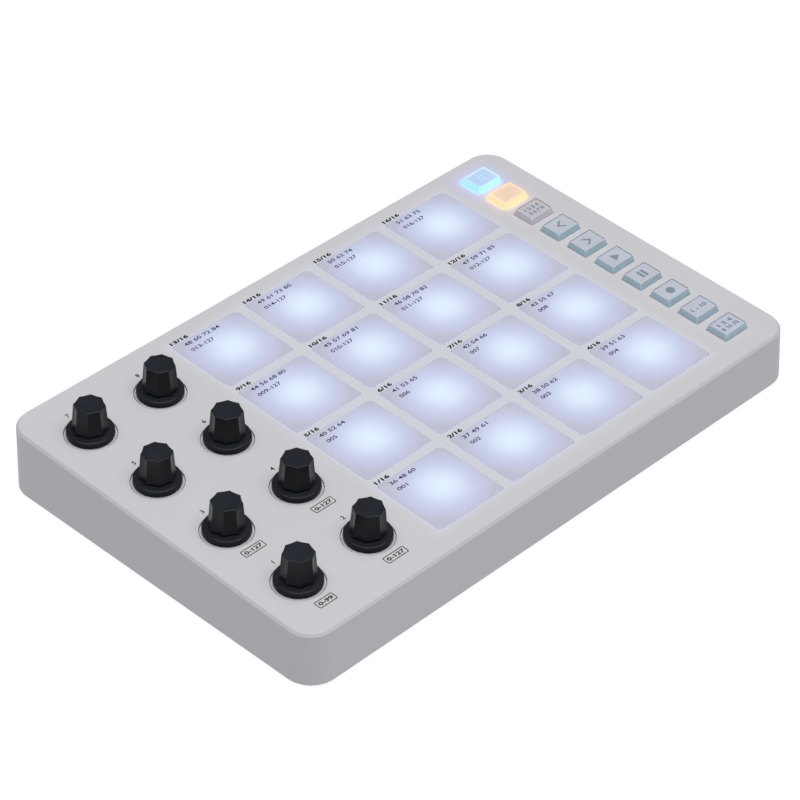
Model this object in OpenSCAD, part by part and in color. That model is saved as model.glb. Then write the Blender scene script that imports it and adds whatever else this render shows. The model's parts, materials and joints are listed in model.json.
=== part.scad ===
/* [Body] */
// Height of the front wall, from its lower edge to the panel
front_h = 19; // [18:0.5:26]
// Slope of the panel in degrees, rising to the back
panel_tilt = 2.1; // [0.5:0.1:5]
// Radius of the upright corners at the panel
corner_r = 8; // [7.5:0.5:12]
// How far the bevel round the panel reaches in from the walls
rim_in = 0.6; // [0.4:0.1:1.5]
// How far that bevel goes down the walls
rim_drop = 0.85; // [0.6:0.05:1.5]
// Radius of the bevel's upper edge
rim_r = 0.25; // [0.1:0.05:0.35]
// How far the walls lean out at their lower edge
side_flare = 0.7; // [0.2:0.1:1.5]
// Chamfer along the lower edge of the walls
base_edge = 0.4; // [0.2:0.1:0.8]
// Thickness of the side walls
wall_t = 2.2; // [1.8:0.1:3]
// Thickness of the panel
panel_t = 2.4; // [2:0.1:3]

/* [Layout] */
// From the left edge of the panel to the first knobs
left_margin = 8.6; // [8:0.1:16]
// From one knob to the next across the panel
knob_gap = 13.7; // [10:0.1:20]
// From the second knobs to the pads
knob_to_pad = 10.3; // [10:0.1:16]
// From the pads to the keys
pad_to_key = 8.8; // [8.6:0.1:14]
// From the keys to the right edge of the panel
right_margin = 11.2; // [11:0.1:18]
// From the front edge of the panel to the pads
front_margin = 8.9; // [8.4:0.1:16]
// From the pads to the back edge of the panel
back_margin = 8.4; // [8.4:0.1:16]

/* [Pads] */
// Width of a pad
pad_w = 26.85; // [20:0.05:34]
// Depth of a pad, front to back
pad_d = 26.15; // [20:0.05:34]
// Strip of panel between two pads, side by side
pad_gap_x = 4.85; // [4.8:0.05:8]
// Strip of panel between two pads, front to back
pad_gap_y = 4.6; // [4.5:0.05:8]
// Corner radius of a pad
pad_r = 0.8; // [0.6:0.1:4]
// How far a pad stands above the panel
pad_rise = 0.2; // [0.1:0.1:2]
// Softened edge round the top of a pad
pad_edge = 0.2; // [0.1:0.05:0.5]
// Thickness of a pad's top over its light well
pad_crown_t = 3.4; // [2:0.1:4]
// Thickness of a pad's skirt
pad_wall = 4; // [2:0.1:6]
// How far a pad goes down when it is struck
pad_travel = 0.6; // [0.3:0.05:1]
// Width of the lip that keeps a pad under the panel
pad_lip = 0.9; // [0.6:0.05:1.2]
// Thickness of that lip
pad_lip_t = 1.2; // [0.8:0.1:2]

/* [Keys] */
// Width of a key at the panel
key_w = 10.8; // [8:0.1:14]
// Depth of a key at the panel
key_d = 8.6; // [6:0.1:12]
// How far each side of a key leans in towards its top, across
key_lean_x = 0.5; // [0.2:0.05:1]
// How far each side of a key leans in towards its top, front to back
key_lean_y = 0.6; // [0.2:0.05:1]
// How far a key stands above the panel
key_rise = 2.2; // [1.2:0.1:4]
// Corner radius of a key
key_r = 0.9; // [0.5:0.1:1.5]
// Width of the rim round the sunk plate in a key's top
key_rim = 0.15; // [0.1:0.05:0.4]
// How far that plate is sunk
key_sink = 0.3; // [0.1:0.05:0.6]
// Strip of panel between two keys
key_gap = 3.57; // [3.5:0.01:6]
// How far a key goes down when it is pressed
key_travel = 0.8; // [0.4:0.05:1.2]
// Width of the lip that keeps a key under the panel
key_lip = 0.7; // [0.5:0.05:0.9]
// Thickness of that lip
key_lip_t = 1; // [0.6:0.1:1.6]
// Diameter of the stem under a key
key_stem_d = 4; // [3:0.1:4.5]

/* [Knobs] */
// Diameter of a knob's skirt
knob_d = 15; // [13:0.1:20]
// Height of the skirt's rim above the panel
skirt_rim_h = 1.9; // [1:0.1:2.2]
// Height of the skirt's crown, inside the foot of the cap
skirt_top_h = 2.2; // [2.2:0.1:2.6]
// Radius of the skirt's rounded rim
skirt_edge_r = 0.6; // [0.3:0.1:0.9]
// Height of a knob above the panel
knob_h = 11.6; // [9:0.1:18]
// Width over the corners of the cap's flared foot, where it meets the skirt
cap_foot_d = 12.6; // [12.5:0.1:13]
// Height of that foot
cap_foot_h = 0.8; // [0.4:0.1:1.2]
// Width over the corners of the cap above its foot
cap_base_d = 11.2; // [10.5:0.1:12.5]
// Width over the corners of the cap at its top
cap_top_d = 10; // [9:0.1:12]
// Depth of the shallow flute in each side of the cap
flute_depth = 0.14; // [0:0.02:0.5]
// Chamfer round the top of the cap
cap_edge = 0.3; // [0.1:0.05:0.6]
// Depth of the round recess that a knob turns in
recess_depth = 0.5; // [0.3:0.1:1.2]
// Gap between a knob's skirt and the side of its recess
recess_gap = 0.95; // [0.4:0.05:2]
// How far the knob rows lie nearer the front than the pad rows
knob_row_shift = 0.5; // [0:0.1:3]

/* [Encoders] */
// Width of an encoder's body
encoder_w = 12; // [10:0.1:14]
// Diameter of an encoder's bush
bush_d = 7; // [6.8:0.1:9]
// How far a bush stands above the floor of the recess
bush_rise = 1.4; // [0.6:0.1:1.6]
// Thickness of an encoder's floor under its shaft
encoder_floor_t = 0.7; // [0.4:0.1:1.2]
// Diameter of an encoder's shaft
shaft_d = 6; // [4:0.1:6]
// How far the flat on the shaft lies from its axis
shaft_flat = 1.5; // [1.2:0.1:2]
// Thickness of a knob's cap over the end of the shaft
cap_roof_t = 2.4; // [1.5:0.1:4]

/* [Board] */
// Depth of the board's upper side below the panel's face
board_depth = 9; // [8.6:0.1:11]
// Thickness of the board
board_t = 1.6; // [1:0.1:2]
// Gap between the board and the walls
board_gap = 1; // [0.8:0.1:3]
// Thickness of the force sensing film under the pads
film_t = 0.3; // [0.2:0.05:0.6]
// Thickness of the contact discs under the keys
contact_t = 0.1; // [0.05:0.05:0.3]
// Width of a pad's lamp
lamp_w = 5; // [3:0.1:6]
// Height of a pad's lamp
lamp_h = 1.6; // [1:0.1:2]
// Rim thickness of the frames round the pads and the keys
frame_rim = 0.8; // [0.6:0.1:1]
// Length of the battery
battery_l = 62; // [40:1:80]
// Width of the battery
battery_w = 44; // [30:1:60]
// Thickness of the battery
battery_t = 5; // [3:0.5:5.5]

/* [Sockets] */
// How far the sockets' mouths lie inside the back wall
mouth_setback = 0.2; // [0.1:0.1:0.8]
// Place of the cable socket, to the right of the middle
usb_x = 38; // [30:1:46]
// Width of the cable socket
usb_w = 8.94; // [8.9:0.02:9.2]
// Height of the cable socket
usb_h = 3.26; // [3.2:0.02:3.4]
// Length of the cable socket
usb_l = 7.4; // [6:0.1:9]
// Thickness of the cable socket's metal
usb_wall = 0.35; // [0.3:0.05:0.4]
// Place of the round jack, to the right of the middle
jack_x = 60; // [55:1:66]
// Bore of the round jack
jack_bore = 3.6; // [3.5:0.05:3.8]
// Diameter of the collar round the jack's mouth
jack_collar_d = 4.8; // [4.6:0.1:5]
// Width of the jack's body
jack_w = 6.4; // [6:0.1:8]
// Height of the jack's body
jack_h = 5; // [5:0.1:6]
// Length of the jack's body
jack_l = 13; // [12:0.5:16]
// Place of the power switch, to the right of the middle
switch_x = 80; // [76:1:84]
// Travel of the power switch
switch_travel = 2; // [1.5:0.1:3]
// Width of the power switch's nub
nub_w = 2.4; // [1.6:0.1:3]
// Height of the power switch's nub
nub_h = 1.6; // [1.2:0.1:2]
// How far the nub stands out of the back wall
nub_out = 1; // [0.6:0.1:2]
// Length of the power switch's body, along its travel
switch_l = 9; // [8:0.1:12]
// Depth of the power switch's body
switch_d = 4; // [3:0.1:6]
// Height of the power switch's body
switch_h = 3.6; // [3.2:0.1:4.5]

/* [Bottom cover] */
// Thickness of the bottom cover
cover_t = 2; // [2:0.1:3]
// Gap between the bottom cover's lip and the walls
cover_gap = 0.3; // [0.2:0.05:0.6]
// Height of the lip that finds its place inside the walls
lip_h = 2; // [1:0.1:3]
// Thickness of that lip
lip_t = 1.2; // [0.8:0.1:2]
// Diameter of a rubber foot
foot_d = 10; // [6:0.5:14]
// How far a foot stands below the cover
foot_drop = 1.5; // [1:0.1:3]
// How deep a foot sits in its pocket
foot_seat = 0.6; // [0.3:0.1:1]
// Distance of the feet from the panel's edges
foot_inset = 17; // [16:0.5:30]

/* [Screws] */
// Diameter of the posts that take the cover screws
post_d = 6.2; // [5:0.1:6.4]
// Distance of the corner posts from the panel's edges
post_inset = 5.8; // [5.6:0.1:6]
// Thread diameter of the cover screws
screw_d = 2.5; // [2:0.1:2.8]
// Length of a cover screw under its head
screw_l = 8; // [6:0.5:9]
// Head diameter of the cover screws
screw_head_d = 4.4; // [4:0.1:5]
// Head height of the cover screws
screw_head_h = 1.1; // [0.8:0.1:1.2]
// Diameter of the posts that carry the board
stud_d = 4.2; // [3.6:0.1:4.4]
// Thread diameter of the board screws
tack_d = 1.8; // [1.4:0.1:2]
// Length of a board screw under its head
tack_l = 5; // [4:0.5:6]
// Head diameter of the board screws
tack_head_d = 3.4; // [3:0.1:4]
// Head height of the board screws
tack_head_h = 1; // [0.8:0.1:1.4]

/* [Clearances] */
// Gap round a pad or key in its opening
slide_gap = 0.25; // [0.2:0.05:0.4]
// Gap between the lips and the panel above them, and over the contacts
play = 0.05; // [0.03:0.01:0.1]
// Radial gap of a shaft in its bush
run_gap = 0.05; // [0.02:0.01:0.1]
// Radial gap of a knob on its shaft
grip_gap = 0.02; // [0.01:0.01:0.05]
// Gap under a knob, and round parts that pass through a hole
free_gap = 0.3; // [0.2:0.05:0.5]
// Radial gap of a screw in its post
thread_gap = 0.05; // [0.02:0.01:0.1]

/* [Hidden] */
$fn = 64;
pad_cols = 4;
pad_rows = 4;
knob_cols = 2;
key_count = 10;
pad_count = pad_cols * pad_rows;
knob_count = knob_cols * pad_rows;
hull_fn = 32;
skin = 0.01;
overcut = 1;

// Layout worked out from the pieces and the strips between them
pad_pitch_x = pad_w + pad_gap_x;
pad_pitch_y = pad_d + pad_gap_y;
key_pitch = key_d + key_gap;
knob_pitch = knob_d + knob_gap;
grid_w = pad_cols * pad_w + (pad_cols - 1) * pad_gap_x;
grid_d = pad_rows * pad_d + (pad_rows - 1) * pad_gap_y;
strip_d = key_count * key_d + (key_count - 1) * key_gap;
knobs_w = knob_cols * knob_d + (knob_cols - 1) * knob_gap;
body_w = left_margin + knobs_w + knob_to_pad + grid_w + pad_to_key + key_w + right_margin;
body_d = front_margin + max(grid_d, strip_d) + back_margin;
layout_y = (front_margin - back_margin) / 2;
knob_left = left_margin - body_w / 2;
pad_left = knob_left + knobs_w + knob_to_pad;
key_x = body_w / 2 - right_margin - key_w / 2;

function pad_x(n) = pad_left + pad_w / 2 + ((n - 1) % pad_cols) * pad_pitch_x;
function row_y(row) = layout_y + pad_d / 2 - grid_d / 2 + row * pad_pitch_y;
function pad_y(n) = row_y(floor((n - 1) / pad_cols));
function knob_x(n) = knob_left + knob_d / 2 + ((n - 1) % knob_cols) * knob_pitch;
function knob_y(n) = row_y(floor((n - 1) / knob_cols)) - knob_row_shift;
function key_y(n) = layout_y + strip_d / 2 - key_d / 2 - (n - 1) * key_pitch;

// Resting turn of each knob, in degrees
knob_turns = [8, -6, -8, 2, 12, 0, -1, -6];

// Heights in the panel's own frame, whose zero is the panel's face
panel_z = foot_drop + front_h + body_d / 2 * tan(panel_tilt);
board_low = -board_depth - board_t;
film_top = film_t - board_depth;
pad_low = film_top + pad_travel + play;
contact_top = contact_t - board_depth;
stem_low = contact_top + key_travel + play;
knob_low = free_gap - recess_depth;
bush_top = bush_rise - recess_depth;
shaft_low = encoder_floor_t + free_gap - board_depth;
shaft_top = knob_h - cap_roof_t;
well_top = bush_top + free_gap;
cap_low = skirt_rim_h + cap_foot_h;
cover_top = foot_drop + cover_t;

// Outlines of the openings and what fits in them
pad_window_w = pad_w + 2 * (pad_lip + slide_gap);
pad_window_d = pad_d + 2 * (pad_lip + slide_gap);
key_window_w = key_w + 2 * (key_lip + slide_gap);
key_window_d = key_d + 2 * (key_lip + slide_gap);
recess_d = knob_d + 2 * recess_gap;
bush_hole_d = bush_d + 2 * free_gap;
well_d = bush_d + 2 * free_gap;
board_w = body_w - 2 * (wall_t + board_gap);
board_d = body_d - 2 * (wall_t + board_gap);
board_r = corner_r - wall_t;
film_inset = 1;
film_hole_d = lamp_w * sqrt(2) + 1;

// The walls lean, so the inside is a little wider at the lip than at the panel
lip_lean = side_flare * (1 - (cover_t + lip_h) / front_h);
cover_w = body_w - 2 * wall_t + 2 * lip_lean - 2 * cover_gap;
cover_d = body_d - 2 * wall_t + 2 * lip_lean - 2 * cover_gap;
cover_r = corner_r - wall_t;

// Posts and studs stand in the free channels of the layout
channel_x = (knob_x(knob_cols) + encoder_w / 2 + pad_left - pad_lip - slide_gap - frame_rim) / 2;
pad_frame_right = pad_left + grid_w + pad_lip + slide_gap + frame_rim;
key_frame_left = key_x - key_window_w / 2 - frame_rim;
stud_right_x = (pad_frame_right + key_frame_left) / 2;
stud_left_x = (knob_x(1) + knob_x(2)) / 2;
corner_x = body_w / 2 - post_inset;
corner_y = body_d / 2 - post_inset;
post_places = concat(
    [for (sx = [-1, 1], sy = [-1, 1]) [sx * corner_x, sy * corner_y]],
    [for (sy = [-1, 1]) [channel_x, sy * body_d / 4]]
);
stud_places = concat(
    [for (row = [0.5, pad_rows - 1.5]) [stud_left_x, row_y(row) - knob_row_shift]],
    [for (sy = [-1, 1]) [stud_right_x, sy * body_d / 3]],
    [for (sy = [-1, 1]) [channel_x, sy * body_d / 2.6]]
);
screw_seat = screw_head_h + 0.1;
cross_w = 0.6;
cross_l = 2.6;
cross_h = 0.6;

// What hangs under the board leans towards the back wall with the panel
board_lean = board_depth * sin(panel_tilt);
fitting_lean = (board_depth + board_t + jack_h / 2) * sin(panel_tilt);
back_y = body_d / 2 - fitting_lean;
mouth_y = back_y - mouth_setback;
tongue_w = usb_w - 2.3;
tongue_t = 0.7;
tongue_setback = 1.2;
socket_floor_t = 1;
collar_l = wall_t + 1;
switch_y = back_y - wall_t - free_gap;
nub_z = board_low - switch_h / 2;
nub_l = back_y + side_flare / 2 + nub_out - switch_y;
carrier_l = nub_w + 1.4;
carrier_h = nub_h + 0.6;
carrier_d = 1.6;
throat_l = carrier_l + switch_travel + 2 * free_gap;
throat_h = carrier_h + 2 * free_gap;

// Chips on the lower side of the board, clear of the battery
chip_x = pad_x(pad_cols) - pad_w / 2;
controller_w = 12;
controller_h = 1.4;
charger_w = 8;
charger_d = 6;
charger_h = 1.2;
chip_r = 0.5;
pouch_fold = 1;

shell_colour = [0.82, 0.82, 0.84];
pad_colour = [0.86, 0.92, 1];
knob_colour = [0.1, 0.1, 0.11];
key_colours = [
    [0.55, 0.95, 1], [1, 0.85, 0.55], [0.74, 0.72, 0.73],
    for (n = [4:key_count]) [0.68, 0.77, 0.81]
];

// Points of a rectangle with round corners
function round_rect(w, d, r, steps = 5) = [
    for (corner = [0:3], i = [0:steps])
        let (a = corner * 90 + i * 90 / steps)
        let (cx = (corner == 0 || corner == 3 ? 1 : -1) * (w / 2 - r))
        let (cy = (corner < 2 ? 1 : -1) * (d / 2 - r))
        [cx + r * cos(a), cy + r * sin(a)]
];

// Points of an eight-sided cap whose sides dip in the middle
function fluted(r, dip, steps = 6) = [
    for (i = [0:7], s = [0:steps - 1])
        let (u = s / steps)
        let (a = [r * cos(i * 45), r * sin(i * 45)])
        let (b = [r * cos(i * 45 + 45), r * sin(i * 45 + 45)])
        let (inward = [cos(i * 45 + 22.5), sin(i * 45 + 22.5)])
        a + u * (b - a) - 4 * dip * u * (1 - u) * inward
];

module on_panel(x = 0, y = 0, z = 0)
    translate([0, 0, panel_z]) rotate([panel_tilt, 0, 0]) translate([x, y, z]) children();

module block(w, d, h, r)
    linear_extrude(h) polygon(round_rect(w, d, r));

module each_corner(dx, dy)
    for (sx = [-1, 1], sy = [-1, 1]) translate([sx * dx, sy * dy, 0]) children();

// Outside of the shell: a bevel round the sloping panel, and leaning walls
module shell_outside() {
    hull() {
        on_panel(z = -rim_r) each_corner(body_w / 2 - corner_r, body_d / 2 - corner_r)
            rotate_extrude($fn = hull_fn) translate([corner_r - rim_in, 0]) circle(rim_r, $fn = 20);
        on_panel(z = -rim_drop - skin) each_corner(body_w / 2 - corner_r, body_d / 2 - corner_r)
            cylinder(skin, r = corner_r, $fn = hull_fn);
        each_corner(body_w / 2 - corner_r, body_d / 2 - corner_r) {
            translate([0, 0, foot_drop]) cylinder(base_edge, corner_r + side_flare - base_edge,
                corner_r + side_flare, $fn = hull_fn);
        }
    }
}

// Room inside the shell, open at the bottom
module shell_inside() {
    hull() {
        on_panel(z = -panel_t - skin) each_corner(body_w / 2 - corner_r, body_d / 2 - corner_r)
            cylinder(skin, r = corner_r - wall_t, $fn = hull_fn);
        translate([0, 0, foot_drop - overcut])
            each_corner(body_w / 2 - corner_r, body_d / 2 - corner_r)
            cylinder(overcut, r = corner_r - wall_t + side_flare, $fn = hull_fn);
    }
}

// Posts for the cover screws, upright, fused into the panel
module posts()
    for (p = post_places) translate([p[0], p[1], cover_top])
        cylinder(panel_z + p[1] * tan(panel_tilt) - panel_t / 2 - cover_top, d = post_d);

module post_holes()
    for (p = post_places) translate([p[0], p[1], cover_top - overcut])
        cylinder(screw_l + overcut, d = screw_d + 2 * thread_gap);

// Studs that the board is screwed to, square to the panel
module studs()
    for (p = stud_places) on_panel(p[0], p[1], -board_depth)
        cylinder(board_depth - panel_t / 2, d = stud_d);

module stud_holes()
    for (p = stud_places) on_panel(p[0], p[1], board_low)
        cylinder(tack_l, d = tack_d + 2 * thread_gap);

// Openings in the panel for the pads, keys and knobs
module panel_openings() {
    through = panel_t + 2 * overcut;
    for (n = [1:pad_count]) on_panel(pad_x(n), pad_y(n), -panel_t - overcut)
        block(pad_w + 2 * slide_gap, pad_d + 2 * slide_gap, through, pad_r + slide_gap);
    for (n = [1:key_count]) on_panel(key_x, key_y(n), -panel_t - overcut)
        block(key_w + 2 * slide_gap, key_d + 2 * slide_gap, through, key_r + slide_gap);
    for (n = [1:knob_count]) on_panel(knob_x(n), knob_y(n), 0) {
        translate([0, 0, -recess_depth]) cylinder(recess_depth + overcut, d = recess_d);
        translate([0, 0, -panel_t - overcut]) cylinder(through, d = bush_hole_d);
    }
}

// A tunnel through the back wall, along the panel's own depth
module back_tunnel(x, z) {
    reach = wall_t + side_flare + fitting_lean + 2 * overcut;
    on_panel(x, back_y - wall_t - overcut, z) rotate([-90, 0, 0]) linear_extrude(reach) children();
}

module usb_outline(grow)
    polygon(round_rect(usb_w + 2 * grow, usb_h + 2 * grow, (usb_h + 2 * grow) / 2 - skin, 8));

module back_openings() {
    back_tunnel(usb_x, board_low - usb_h / 2) usb_outline(slide_gap);
    back_tunnel(jack_x, board_low - jack_h / 2) circle(d = jack_collar_d + 2 * slide_gap);
    back_tunnel(switch_x + switch_travel / 2, nub_z)
        square([nub_w + switch_travel + 2 * free_gap, nub_h + 2 * free_gap], center = true);
}

module top_shell() color(shell_colour)
    difference() {
        union() {
            difference() {
                shell_outside();
                shell_inside();
            }
            posts();
            studs();
        }
        panel_openings();
        back_openings();
        post_holes();
        stud_holes();
    }

// Plate with a locating lip, a fence round the battery and pockets for the feet
module bottom_cover() color(shell_colour * 0.9)
    difference() {
        translate([0, 0, foot_drop]) {
            block(cover_w, cover_d, cover_t, cover_r);
            difference() {
                block(cover_w, cover_d, cover_t + lip_h, cover_r);
                translate([0, 0, cover_t]) block(cover_w - 2 * lip_t, cover_d - 2 * lip_t,
                    lip_h + overcut, cover_r - lip_t);
            }
            difference() {
                fence = 2 * (free_gap + lip_t);
                block(battery_l + fence, battery_w + fence, cover_t + lip_h, lip_t);
                translate([0, 0, cover_t]) block(battery_l + 2 * free_gap, battery_w + 2 * free_gap,
                    lip_h + overcut, lip_t / 2);
            }
        }
        for (p = post_places) translate([p[0], p[1], 0]) {
            translate([0, 0, cover_top]) cylinder(lip_h + overcut, d = post_d + 2 * free_gap);
            translate([0, 0, foot_drop - overcut])
                cylinder(screw_seat + overcut, d = screw_head_d + 2 * slide_gap);
            cylinder(cover_top + overcut, d = screw_d + 2 * free_gap);
        }
        each_corner(body_w / 2 - foot_inset, body_d / 2 - foot_inset)
            cylinder(foot_drop + foot_seat, d = foot_d + 2 * slide_gap);
    }

module main_board() color("darkgreen")
    difference() {
        on_panel(y = -board_lean, z = board_low) block(board_w, board_d, board_t, board_r);
        for (p = post_places) translate([p[0], p[1], 0])
            cylinder(2 * panel_z, d = post_d + 4 * free_gap);
        for (p = stud_places) on_panel(p[0], p[1], board_low - overcut)
            cylinder(board_t + 2 * overcut, d = tack_d + free_gap);
    }

// Light-tight crate round the pads, between the board and the panel
module pad_frame() color("whitesmoke")
    on_panel(pad_left + grid_w / 2, layout_y, -board_depth) difference() {
        rim = 2 * (pad_lip + slide_gap + frame_rim);
        block(grid_w + rim, grid_d + rim, board_depth - panel_t, pad_r);
        for (n = [1:pad_count])
            translate([pad_x(n) - pad_left - grid_w / 2, pad_y(n) - layout_y, -overcut])
            block(pad_window_w, pad_window_d, board_depth, pad_r + pad_lip + slide_gap);
    }

// Light-tight crate round the keys
module key_frame() color("whitesmoke")
    on_panel(key_x, layout_y, -board_depth) difference() {
        rim = 2 * (key_lip + slide_gap + frame_rim);
        block(key_w + rim, strip_d + rim, board_depth - panel_t, key_r);
        for (n = [1:key_count]) translate([0, key_y(n) - layout_y, -overcut])
            block(key_window_w, key_window_d, board_depth, key_r);
    }

// Force sensing film, one square under each pad, holed for its lamp
module sensor_film() color("goldenrod")
    for (n = [1:pad_count]) on_panel(pad_x(n), pad_y(n), -board_depth) difference() {
        block(pad_w - 2 * film_inset, pad_d - 2 * film_inset, film_t, pad_r);
        translate([0, 0, -overcut]) cylinder(film_t + 2 * overcut, d = film_hole_d);
    }

// A lamp is a square body with a shallow round lens well
module lamp(w, h)
    difference() {
        translate([-w / 2, -w / 2, 0]) cube([w, w, h]);
        translate([0, 0, h * 0.75]) cylinder(h, d = w * 0.8);
    }

module lamps() color("white") {
    for (n = [1:pad_count]) on_panel(pad_x(n), pad_y(n), -board_depth) lamp(lamp_w, lamp_h);
    for (n = [1:key_count])
        on_panel(key_x + key_stem_d / 2 + lamp_w / 4 + free_gap, key_y(n), -board_depth)
        lamp(lamp_w / 2.5, lamp_h / 2);
}

module key_contacts() color("gold")
    for (n = [1:key_count]) on_panel(key_x, key_y(n), -board_depth)
        cylinder(contact_t, d = key_stem_d);

// Housing and bush of each encoder, bored for the shaft
module encoder_bodies() color("silver")
    for (n = [1:knob_count]) on_panel(knob_x(n), knob_y(n), -board_depth) difference() {
        union() {
            translate([-encoder_w / 2, -encoder_w / 2, 0])
                cube([encoder_w, encoder_w, board_depth - panel_t]);
            cylinder(board_depth + bush_top, d = bush_d);
        }
        translate([0, 0, encoder_floor_t]) cylinder(2 * board_depth, d = shaft_d + 2 * run_gap);
    }

// A round bar with a flat along its upper end
module flatted(d, flat, low, turn_low, top)
    difference() {
        translate([0, 0, low]) cylinder(top - low, d = d);
        translate([flat, -d, turn_low]) cube([d, 2 * d, top - turn_low + overcut]);
    }

module encoder_shaft(n) color("gainsboro")
    on_panel(knob_x(n), knob_y(n)) rotate(knob_turns[n - 1])
        flatted(shaft_d, shaft_flat, shaft_low, well_top, shaft_top);

// Skirt turned from a profile with a rounded rim
module skirt() {
    r = knob_d / 2;
    rim = [for (a = [0:15:90])
        [r - skirt_edge_r * (1 - cos(a)), skirt_rim_h - skirt_edge_r * (1 - sin(a))]];
    rotate_extrude() polygon(concat([[0, knob_low], [r, knob_low]], rim,
        [[cap_base_d / 2, skirt_top_h], [0, skirt_top_h]]));
}

// Eight fluted sides on a flared foot, drawing in to a chamfered top
module cap() {
    shoulder_d = cap_top_d + (cap_base_d - cap_top_d) * cap_edge / (knob_h - cap_low);
    straight = knob_h - cap_low - cap_edge;
    translate([0, 0, skirt_rim_h])
        linear_extrude(cap_foot_h, scale = cap_base_d / cap_foot_d)
        polygon(fluted(cap_foot_d / 2, flute_depth * cap_foot_d / cap_base_d));
    translate([0, 0, cap_low - skin])
        linear_extrude(straight + skin, scale = shoulder_d / cap_base_d)
        polygon(fluted(cap_base_d / 2, flute_depth));
    translate([0, 0, knob_h - cap_edge - skin])
        linear_extrude(cap_edge + skin, scale = (cap_top_d - 2 * cap_edge) / shoulder_d)
        polygon(fluted(shoulder_d / 2, flute_depth * shoulder_d / cap_base_d));
}

module knob(n) color(knob_colour)
    on_panel(knob_x(n), knob_y(n)) rotate(knob_turns[n - 1]) difference() {
        union() {
            skirt();
            cap();
        }
        translate([0, 0, knob_low - overcut]) cylinder(well_top - knob_low + overcut, d = well_d);
        flatted(shaft_d + 2 * grip_gap, shaft_flat + grip_gap, knob_low, well_top,
            shaft_top + grip_gap);
    }

// A pad is a hollow block with a soft top edge and a lip that the panel holds down
module pad(n) color(pad_colour)
    on_panel(pad_x(n), pad_y(n)) difference() {
        union() {
            hull() {
                translate([0, 0, pad_rise - pad_edge - skin]) block(pad_w, pad_d, skin, pad_r);
                translate([0, 0, pad_rise - skin])
                    block(pad_w - 2 * pad_edge, pad_d - 2 * pad_edge, skin, pad_r - pad_edge);
            }
            translate([0, 0, pad_low]) block(pad_w, pad_d, pad_rise - pad_edge - pad_low, pad_r);
            translate([0, 0, -panel_t - play - pad_lip_t])
                block(pad_w + 2 * pad_lip, pad_d + 2 * pad_lip, pad_lip_t, pad_r + pad_lip);
        }
        translate([0, 0, pad_low - overcut])
            block(pad_w - 2 * pad_wall, pad_d - 2 * pad_wall,
                pad_rise - pad_crown_t - pad_low + overcut, pad_r);
    }

// A key is a leaning block with a sunk plate, on a lip, with a stem down to its contact
module key(n) color(key_colours[n - 1])
    on_panel(key_x, key_y(n)) {
        lip_low = -panel_t - play - key_lip_t;
        top_w = key_w - 2 * key_lean_x;
        top_d = key_d - 2 * key_lean_y;
        difference() {
            hull() {
                translate([0, 0, -skin]) block(key_w, key_d, skin, key_r);
                translate([0, 0, key_rise - skin]) block(top_w, top_d, skin, key_r);
            }
            translate([0, 0, key_rise - key_sink])
                block(top_w - 2 * key_rim, top_d - 2 * key_rim, key_sink + overcut, key_r - key_rim);
        }
        translate([0, 0, lip_low]) block(key_w, key_d, -lip_low - skin / 2, key_r);
        translate([0, 0, lip_low])
            block(key_w + 2 * key_lip, key_d + 2 * key_lip, key_lip_t, key_r + key_lip / 2);
        translate([0, 0, stem_low]) cylinder(lip_low - stem_low + skin, d = key_stem_d);
    }

// Controller and charging chips on the board's lower side
module control_chips() color("dimgray") {
    on_panel(chip_x, -body_d / 6, board_low - controller_h)
        block(controller_w, controller_w, controller_h, chip_r);
    on_panel(chip_x, body_d / 12, board_low - charger_h)
        block(charger_w, charger_d, charger_h, chip_r);
}

// Flat pouch with folded edges, lying on the cover inside its fence
module battery() color("silver")
    translate([0, 0, cover_top]) {
        block(battery_l, battery_w, battery_t / 2, pouch_fold);
        block(battery_l - 2 * pouch_fold, battery_w - 2 * pouch_fold, battery_t, pouch_fold);
    }

// Metal shell with its mouth in the back wall and a tongue inside
module usb_socket() color("silver")
    on_panel(usb_x, mouth_y - usb_l, board_low - usb_h / 2) rotate([-90, 0, 0]) {
        difference() {
            linear_extrude(usb_l) usb_outline(0);
            translate([0, 0, socket_floor_t]) linear_extrude(usb_l) usb_outline(-usb_wall);
        }
        translate([-tongue_w / 2, -tongue_t / 2, 0])
            cube([tongue_w, tongue_t, usb_l - tongue_setback]);
    }

// Jack body under the board, with a round collar in the back wall
module midi_jack() color([0.12, 0.12, 0.13])
    on_panel(jack_x, mouth_y, board_low - jack_h / 2) rotate([90, 0, 0]) difference() {
        union() {
            cylinder(collar_l + skin, d = jack_collar_d);
            translate([-jack_w / 2, -jack_h / 2, collar_l]) cube([jack_w, jack_h, jack_l - collar_l]);
        }
        translate([0, 0, -overcut])
            cylinder(jack_l - socket_floor_t + overcut, d = jack_bore);
    }

// Slide switch under the board, open towards the back wall
module power_switch_body() color("dimgray")
    on_panel(switch_x + switch_travel / 2, switch_y, nub_z) difference() {
        translate([-switch_l / 2, -switch_d, -switch_h / 2]) cube([switch_l, switch_d, switch_h]);
        translate([-throat_l / 2, -carrier_d - free_gap, -throat_h / 2])
            cube([throat_l, switch_d, throat_h]);
    }

module power_switch_slider() color([0.15, 0.15, 0.16])
    on_panel(switch_x, switch_y, nub_z) {
        translate([-carrier_l / 2, -carrier_d, -carrier_h / 2]) cube([carrier_l, carrier_d, carrier_h]);
        translate([-nub_w / 2, -skin, -nub_h / 2]) cube([nub_w, nub_l, nub_h]);
    }

// Pan head screw pointing up, with a cross recess
module screw(d, l, head_d, head_h)
    difference() {
        union() {
            translate([0, 0, -head_h]) cylinder(head_h, d = head_d);
            translate([0, 0, -skin]) cylinder(l, d = d);
        }
        for (a = [0, 90]) rotate(a) translate([-cross_l / 2, -cross_w / 2, -head_h - overcut])
            cube([cross_l, cross_w, cross_h + overcut]);
    }

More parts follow.
